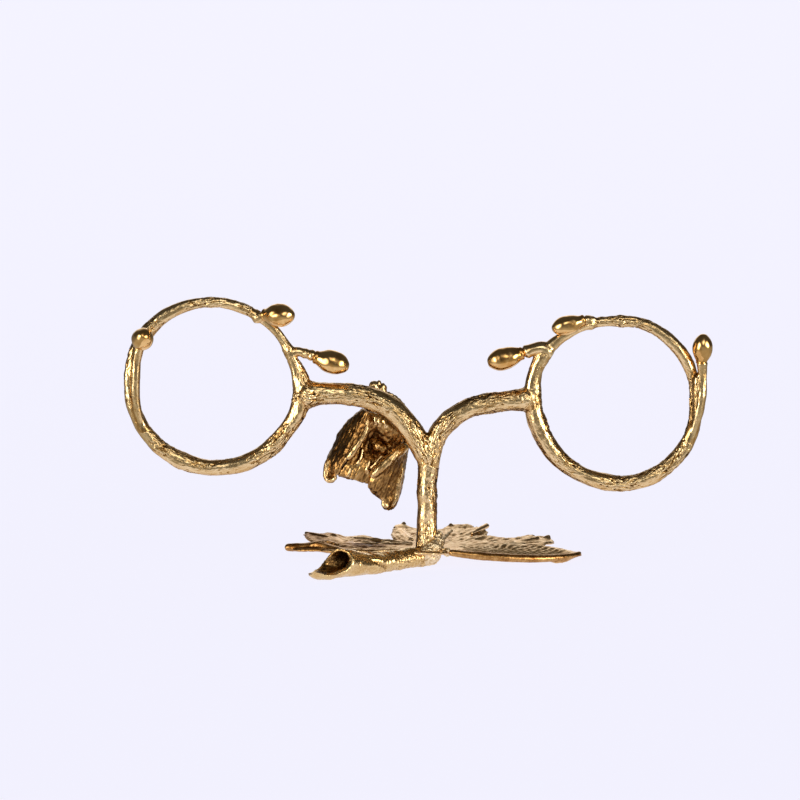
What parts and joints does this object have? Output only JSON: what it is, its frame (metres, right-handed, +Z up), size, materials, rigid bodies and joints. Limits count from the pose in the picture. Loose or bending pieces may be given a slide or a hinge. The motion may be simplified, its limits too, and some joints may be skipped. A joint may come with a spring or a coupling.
{
  "type": "eyeglasses display stand",
  "caption": "Gilt brass eyeglasses display stand: a forked twig on a palmate leaf, its arms bent into round hoops like spectacle rims, with flower buds and a drooping flower.",
  "frame": {"origin": "centre of the whole object's bounding box, on the surface that it rests on", "axes": "+X to the viewer's right along the line through both hoops, +Y away from the viewer towards the leaf's back lobes, +Z up"},
  "size_m": [0.165, 0.0716, 0.0763],
  "materials": {
    "bark_gilt": "polished gilt brass with bark grooves and dark olive-brown patina in the recesses",
    "bud_gilt": "smooth, brightly polished gilt brass",
    "leaf_gilt": "paler, duller gilt brass with fine cast veins",
    "flower_gilt": "wrinkled gilt brass with heavy dark patina",
    "braze_metal": "pale, granular braze"
  },
  "bodies": {
    "root": {"leaf_blade": "leaf_gilt", "leaf_stalk": "bark_gilt", "stem": "bark_gilt", "foot_braze": "braze_metal", "left_arm": "bark_gilt", "right_arm": "bark_gilt", "left_hoop": "bark_gilt", "right_hoop": "bark_gilt", "left_shoot": "bark_gilt", "right_shoot": "bark_gilt", "left_side_bud_stalk": "bark_gilt", "left_inner_bud_stalk": "bark_gilt", "right_inner_bud_stalk": "bark_gilt", "right_side_bud_stalk": "bark_gilt", "left_side_bud": "bud_gilt", "left_top_bud": "bud_gilt", "left_inner_bud": "bud_gilt", "right_inner_bud": "bud_gilt", "right_top_bud": "bud_gilt", "right_side_bud": "bud_gilt", "flower_sepal_1": "flower_gilt", "flower_sepal_2": "flower_gilt", "flower_sepal_3": "flower_gilt", "flower_sepal_4": "flower_gilt", "flower_sepal_5": "flower_gilt", "flower_stalk": "flower_gilt", "flower_seed_head": "flower_gilt"}
  },
  "joints": []
}
